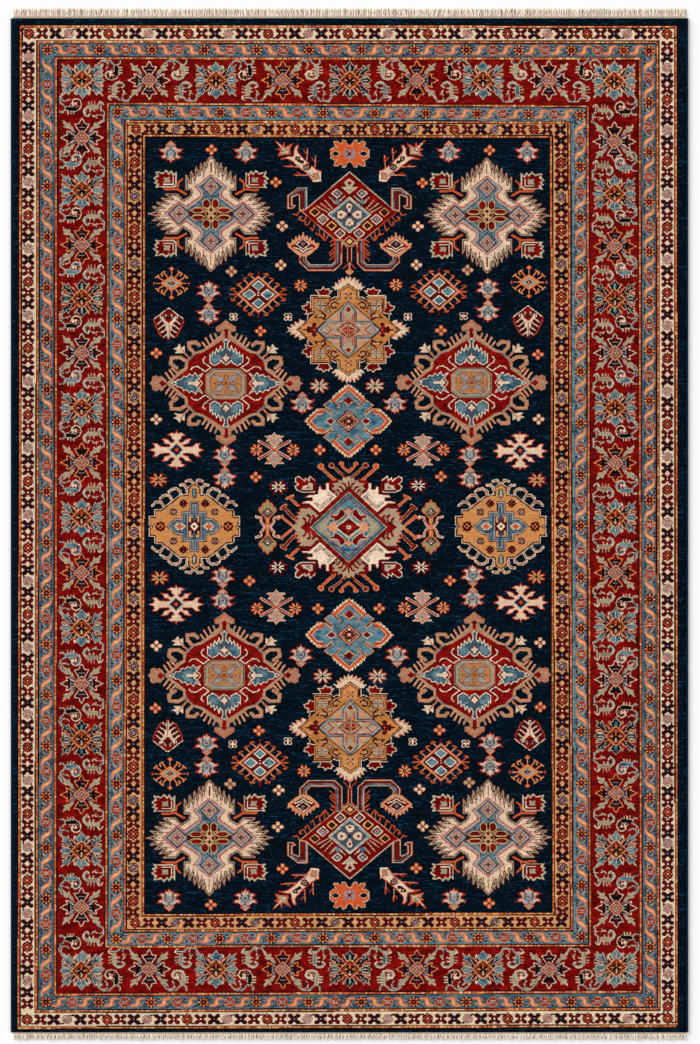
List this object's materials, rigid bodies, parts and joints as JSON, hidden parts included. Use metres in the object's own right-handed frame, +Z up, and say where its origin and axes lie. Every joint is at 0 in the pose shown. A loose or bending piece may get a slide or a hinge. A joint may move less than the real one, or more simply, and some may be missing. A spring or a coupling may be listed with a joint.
{
  "type": "area rug",
  "caption": "Hand-knotted wool area rug laid flat: banded pile on a cotton foundation, overcast selvedges, kilim ends and warp fringes.",
  "frame": {"origin": "centre of the rug's footprint, on the surface it lies on", "axes": "+Y along the rug's length, +X across its width to the right when +Y is away, +Z up out of the pile"},
  "size_m": [2, 3.041, 0.009],
  "materials": {
    "foundation_cotton": "matte plain-woven cotton warps and wefts",
    "pile_navy": "clipped wool pile, very dark navy with lighter horizontal abrash",
    "pile_gold": "clipped wool pile, orange-gold dashes between dark red outlines",
    "pile_cream": "clipped wool pile, undyed cream",
    "pile_slate": "clipped wool pile, greyed slate blue",
    "pile_red": "clipped wool pile, madder red",
    "pile_tan": "clipped wool pile, camel tan",
    "selvedge_wool": "navy wool yarn wound tightly round the edge warps",
    "selvedge_warps": "bundled cotton warps",
    "end_cotton": "flat-woven and twined off-white cotton",
    "fringe_cotton": "loose plied off-white cotton warp ends"
  },
  "bodies": {
    "root": {"foundation_weave": "foundation_cotton", "pile_edge_band": "pile_navy", "stripe_1_outermost": "pile_gold", "pile_cream_guard": "pile_cream", "stripe_2": "pile_gold", "pile_blue_guard_outer": "pile_slate", "stripe_3": "pile_gold", "pile_main_border": "pile_red", "stripe_4": "pile_gold", "pile_blue_guard_inner": "pile_slate", "stripe_5": "pile_gold", "pile_tan_guard": "pile_tan", "stripe_6_innermost": "pile_gold", "pile_field": "pile_navy", "selvedge_overcast_left": "selvedge_wool", "selvedge_core_left": "selvedge_warps", "selvedge_overcast_right": "selvedge_wool", "selvedge_core_right": "selvedge_warps", "kilim_end_top": "end_cotton", "kilim_end_bottom": "end_cotton", "end_twining_top": "end_cotton", "end_twining_bottom": "end_cotton", "fringe_top": "fringe_cotton", "fringe_bottom": "fringe_cotton"}
  },
  "joints": []
}
